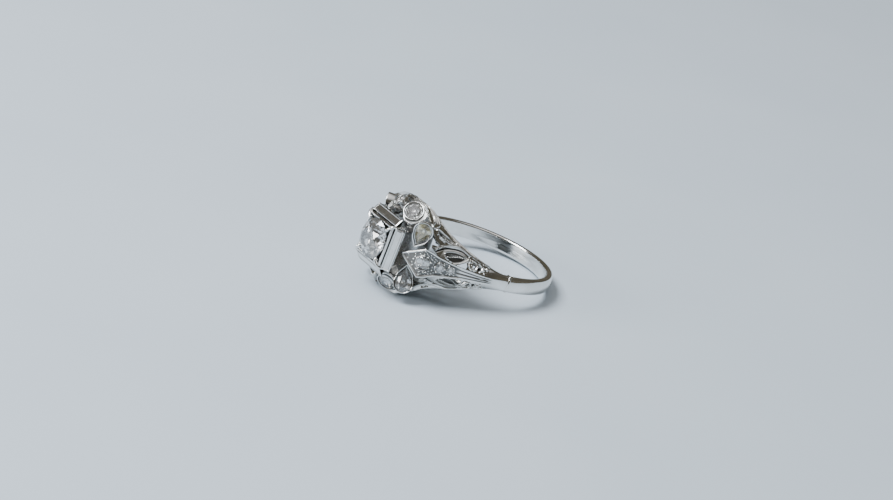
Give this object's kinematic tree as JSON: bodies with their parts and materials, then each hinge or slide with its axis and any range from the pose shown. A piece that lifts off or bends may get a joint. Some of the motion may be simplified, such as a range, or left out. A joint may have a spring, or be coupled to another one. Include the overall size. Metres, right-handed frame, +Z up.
{
  "type": "engagement ring",
  "caption": "Filigree engagement ring: plain half-round shank, square box head with a round old-cut stone, bezel-set side stones and pierced stone-set shoulders.",
  "frame": {"origin": "centre of the finger hole, halfway along the shank's width", "axes": "the ring lies on its side on a table, +Z up; -X points from the finger hole to the head and +X to the tail of the shank; Y runs between the two shoulders; the finger axis leans about 12.3 degrees from +Z toward +X"},
  "size_m": [0.0264, 0.019, 0.0113],
  "materials": {
    "polished_metal": "polished platinum",
    "box_metal": "bright-polished platinum",
    "plate_metal": "bright-cut platinum",
    "bezel_metal": "milgrained platinum",
    "filigree_metal": "engraved platinum, darker in its recesses",
    "clear_stone": "cut and polished diamond",
    "champagne_stone": "cut and polished light champagne diamond"
  },
  "bodies": {
    "root": {"shank": "polished_metal", "collar_near": "polished_metal", "collar_far": "polished_metal", "shoulder_near": "polished_metal", "shoulder_far": "polished_metal", "rim_north": "polished_metal", "rim_south": "polished_metal", "skirt_north": "filigree_metal", "skirt_south": "filigree_metal", "web_north_near": "filigree_metal", "web_north_far": "filigree_metal", "web_south_near": "filigree_metal", "web_south_far": "filigree_metal", "spray_north_near": "filigree_metal", "spray_north_far": "filigree_metal", "spray_south_near": "filigree_metal", "spray_south_far": "filigree_metal", "gallery": "filigree_metal", "box": "box_metal", "panel_north": "box_metal", "panel_south": "box_metal", "panel_near": "box_metal", "panel_far": "box_metal", "prong_north_near": "box_metal", "prong_north_far": "box_metal", "prong_south_near": "box_metal", "prong_south_far": "box_metal", "centre_stone": "clear_stone", "round_bezel_north_near": "bezel_metal", "round_bezel_north_far": "bezel_metal", "round_bezel_south_near": "bezel_metal", "round_bezel_south_far": "bezel_metal", "round_stone_north_near": "clear_stone", "round_stone_north_far": "clear_stone", "round_stone_south_near": "clear_stone", "round_stone_south_far": "clear_stone", "pear_bezel_north_near": "bezel_metal", "pear_bezel_north_far": "bezel_metal", "pear_bezel_south_near": "bezel_metal", "pear_bezel_south_far": "bezel_metal", "pear_stone_north_near": "champagne_stone", "pear_stone_north_far": "clear_stone", "pear_stone_south_near": "clear_stone", "pear_stone_south_far": "clear_stone", "plate_near": "plate_metal", "plate_far": "plate_metal", "plate_stone_near_1": "clear_stone", "plate_stone_near_2": "clear_stone", "plate_stone_near_3": "clear_stone", "plate_stone_far_1": "clear_stone", "plate_stone_far_2": "clear_stone", "plate_stone_far_3": "clear_stone"}
  },
  "joints": []
}
